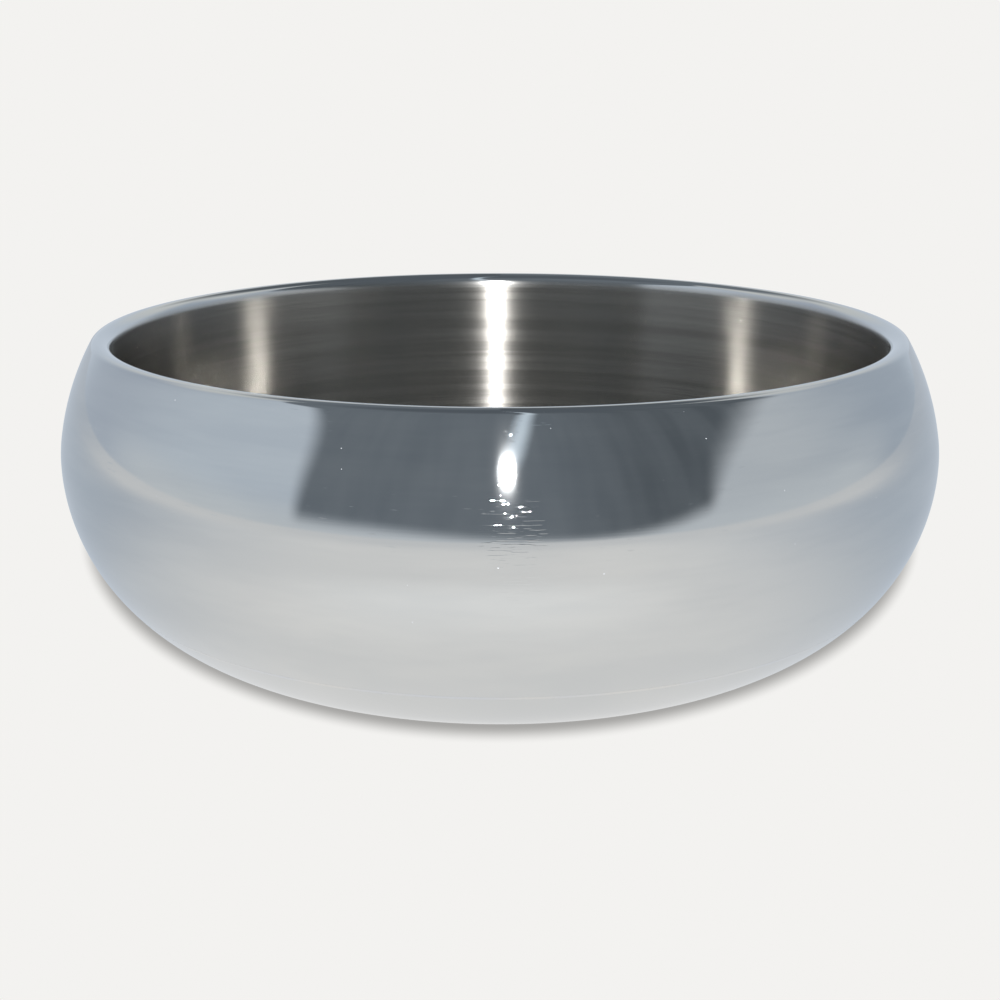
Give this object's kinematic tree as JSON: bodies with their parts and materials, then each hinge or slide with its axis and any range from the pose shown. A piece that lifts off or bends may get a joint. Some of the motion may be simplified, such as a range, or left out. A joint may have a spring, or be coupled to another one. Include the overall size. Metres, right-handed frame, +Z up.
{
  "type": "pedicure foot bath",
  "caption": "Round double-walled steel foot bath with a rolled rim, brushed inside and mirror-polished outside, standing on a rubber ring.",
  "frame": {"origin": "on the bowl's axis, at the underside of the rubber ring that it stands on", "axes": "+Z up along the bowl's axis; the bowl is the same all around, so X and Y are free"},
  "size_m": [0.44, 0.44, 0.158],
  "materials": {
    "polished_steel": "mirror-polished stainless steel",
    "weld_steel": "weld bead ground flush",
    "brushed_steel": "stainless steel brushed around the axis",
    "pan_steel": "polished stainless steel",
    "seam_steel": "weld bead ground flush and polished",
    "damping_pad": "dull black damping pad",
    "ring_rubber": "matte black rubber",
    "plug_rubber": "matte black rubber"
  },
  "bodies": {
    "root": {"outer_shell": "polished_steel", "rim_weld": "weld_steel", "inner_basin": "brushed_steel", "bottom_pan": "pan_steel", "pan_weld": "seam_steel", "floor_pad": "damping_pad", "anti_slip_ring": "ring_rubber", "vent_plug": "plug_rubber"}
  },
  "joints": []
}
